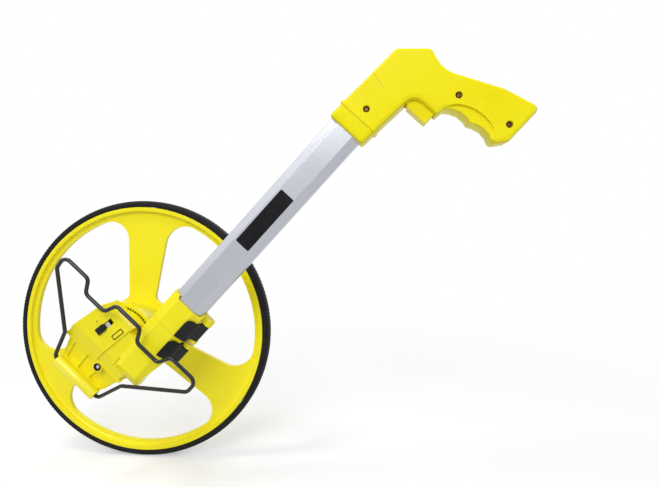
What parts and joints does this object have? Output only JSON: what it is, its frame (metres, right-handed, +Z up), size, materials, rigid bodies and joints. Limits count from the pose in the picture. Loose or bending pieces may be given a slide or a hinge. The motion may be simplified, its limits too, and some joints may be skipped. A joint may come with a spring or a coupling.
{
  "type": "measuring wheel",
  "caption": "Measuring wheel with a spoked wheel, a geared counter at the hub, a telescoping pole with clamp collars, a pistol handle with a trigger and a folding wire stand.",
  "frame": {"origin": "centre of the hub cap's outer face, on the far side of the wheel from the pole", "axes": "+Y along the wheel's axle, out of the hub cap; +Z up; +X the way the pole leans"},
  "size_m": [0.6015, 0.1277, 0.463],
  "materials": {
    "tyre": "matt",
    "yellow_wheel": "satin",
    "yellow_housing": "satin",
    "window": "clear",
    "counter": "satin",
    "black_plastic": "satin",
    "tube": "satin",
    "wire": "gloss black",
    "steel": "bright",
    "bush": "satin"
  },
  "bodies": {
    "housing": {"hub_housing": "yellow_housing", "axle": "steel", "axle_nut_inner": "steel", "axle_nut_outer": "steel", "counter_cover": "yellow_housing", "cover_screw": "steel", "counter_window": "window", "inner_tube": "tube", "inner_tube_plug": "black_plastic"},
    "wheel_body": {"wheel": "yellow_wheel", "tyre": "tyre", "hub_cup": "yellow_wheel", "drive_ring": "yellow_wheel", "hub_screw_1": "steel", "hub_screw_2": "steel", "hub_screw_3": "steel", "wheel_bush_near": "bush", "wheel_bush_far": "bush", "hub_cap": "yellow_wheel"},
    "pinion_body": {"counter_pinion": "counter"},
    "stand_body": {"stand_wire": "wire"},
    "slider_body": {"reset_slider": "black_plastic"},
    "middle_body": {"middle_tube": "tube", "middle_tube_plug": "black_plastic", "lower_collar": "yellow_housing", "lower_lever_pin": "steel"},
    "lower_lever_body": {"lower_lever": "black_plastic"},
    "outer_body": {"outer_tube": "tube", "upper_collar": "yellow_housing", "upper_lever_pin": "steel", "handle_near": "yellow_housing", "handle_far": "yellow_housing", "handle_screw_1": "steel", "handle_screw_2": "steel", "handle_screw_3": "steel", "trigger_pin": "steel"},
    "upper_lever_body": {"upper_lever": "black_plastic"},
    "trigger_body": {"trigger": "yellow_housing"},
    "drum_1_body": {"digit_drum_1": "counter"},
    "drum_2_body": {"digit_drum_2": "counter"},
    "drum_3_body": {"digit_drum_3": "counter"},
    "drum_4_body": {"digit_drum_4": "counter"},
    "drum_5_body": {"digit_drum_5": "counter"}
  },
  "joints": [
    {"name": "wheel_spin", "type": "hinge", "parent": "housing", "child": "wheel_body", "pos_m": [0, -0.0203, 0], "axis": [0, 1, 0], "continuous": true},
    {"name": "pinion_spin", "type": "hinge", "parent": "housing", "child": "pinion_body", "pos_m": [-0.02142, -0.0823, 0.0197], "axis": [0, 1, 0], "continuous": true},
    {"name": "drum_1_spin", "type": "hinge", "parent": "housing", "child": "drum_1_body", "pos_m": [-0.02142, -0.093, 0.0197], "axis": [0, 1, 0], "continuous": true},
    {"name": "drum_2_spin", "type": "hinge", "parent": "housing", "child": "drum_2_body", "pos_m": [-0.02142, -0.0964, 0.0197], "axis": [0, 1, 0], "continuous": true},
    {"name": "drum_3_spin", "type": "hinge", "parent": "housing", "child": "drum_3_body", "pos_m": [-0.02142, -0.0998, 0.0197], "axis": [0, 1, 0], "continuous": true},
    {"name": "drum_4_spin", "type": "hinge", "parent": "housing", "child": "drum_4_body", "pos_m": [-0.02142, -0.1032, 0.0197], "axis": [0, 1, 0], "continuous": true},
    {"name": "drum_5_spin", "type": "hinge", "parent": "housing", "child": "drum_5_body", "pos_m": [-0.02142, -0.1066, 0.0197], "axis": [0, 1, 0], "continuous": true},
    {"name": "stand_swing", "type": "hinge", "parent": "housing", "child": "stand_body", "pos_m": [-0.03741, -0.1058, -0.03625], "axis": [0.7361, 0, -0.6769], "range_deg": [0, 150]},
    {"name": "reset_slide", "type": "slide", "parent": "housing", "child": "slider_body", "axis": [0.7837, 0, 0.6211], "range_m": [0, 0.0112]},
    {"name": "lower_slide", "type": "slide", "parent": "housing", "child": "middle_body", "axis": [0.6769, 0, 0.7361], "range_m": [0, 0.25]},
    {"name": "upper_slide", "type": "slide", "parent": "middle_body", "child": "outer_body", "axis": [0.6769, 0, 0.7361], "range_m": [0, 0.25]},
    {"name": "lower_lever_swing", "type": "hinge", "parent": "middle_body", "child": "lower_lever_body", "pos_m": [0.07635, -0.0943, -0.00975], "axis": [0.6769, 0, 0.7361], "range_deg": [0, 110]},
    {"name": "upper_lever_swing", "type": "hinge", "parent": "outer_body", "child": "upper_lever_body", "pos_m": [0.09564, -0.0943, 0.01123], "axis": [0.6769, 0, 0.7361], "range_deg": [0, 110]},
    {"name": "trigger_pull", "type": "hinge", "parent": "outer_body", "child": "trigger_body", "pos_m": [0.31443, -0.1003, 0.25699], "axis": [0, -1, 0], "range_deg": [0, 8], "stiffness_Nm_per_rad": 0.6, "springref_deg": -6.88}
  ],
  "couplings": [
    {"joint": "pinion_spin", "follows": "wheel_spin", "ratio": 4},
    {"joint": "drum_1_spin", "follows": "wheel_spin", "ratio": 1},
    {"joint": "drum_2_spin", "follows": "wheel_spin", "ratio": 0.1},
    {"joint": "drum_3_spin", "follows": "wheel_spin", "ratio": 0.01},
    {"joint": "drum_4_spin", "follows": "wheel_spin", "ratio": 0.001},
    {"joint": "drum_5_spin", "follows": "wheel_spin", "ratio": 0.0001}
  ]
}
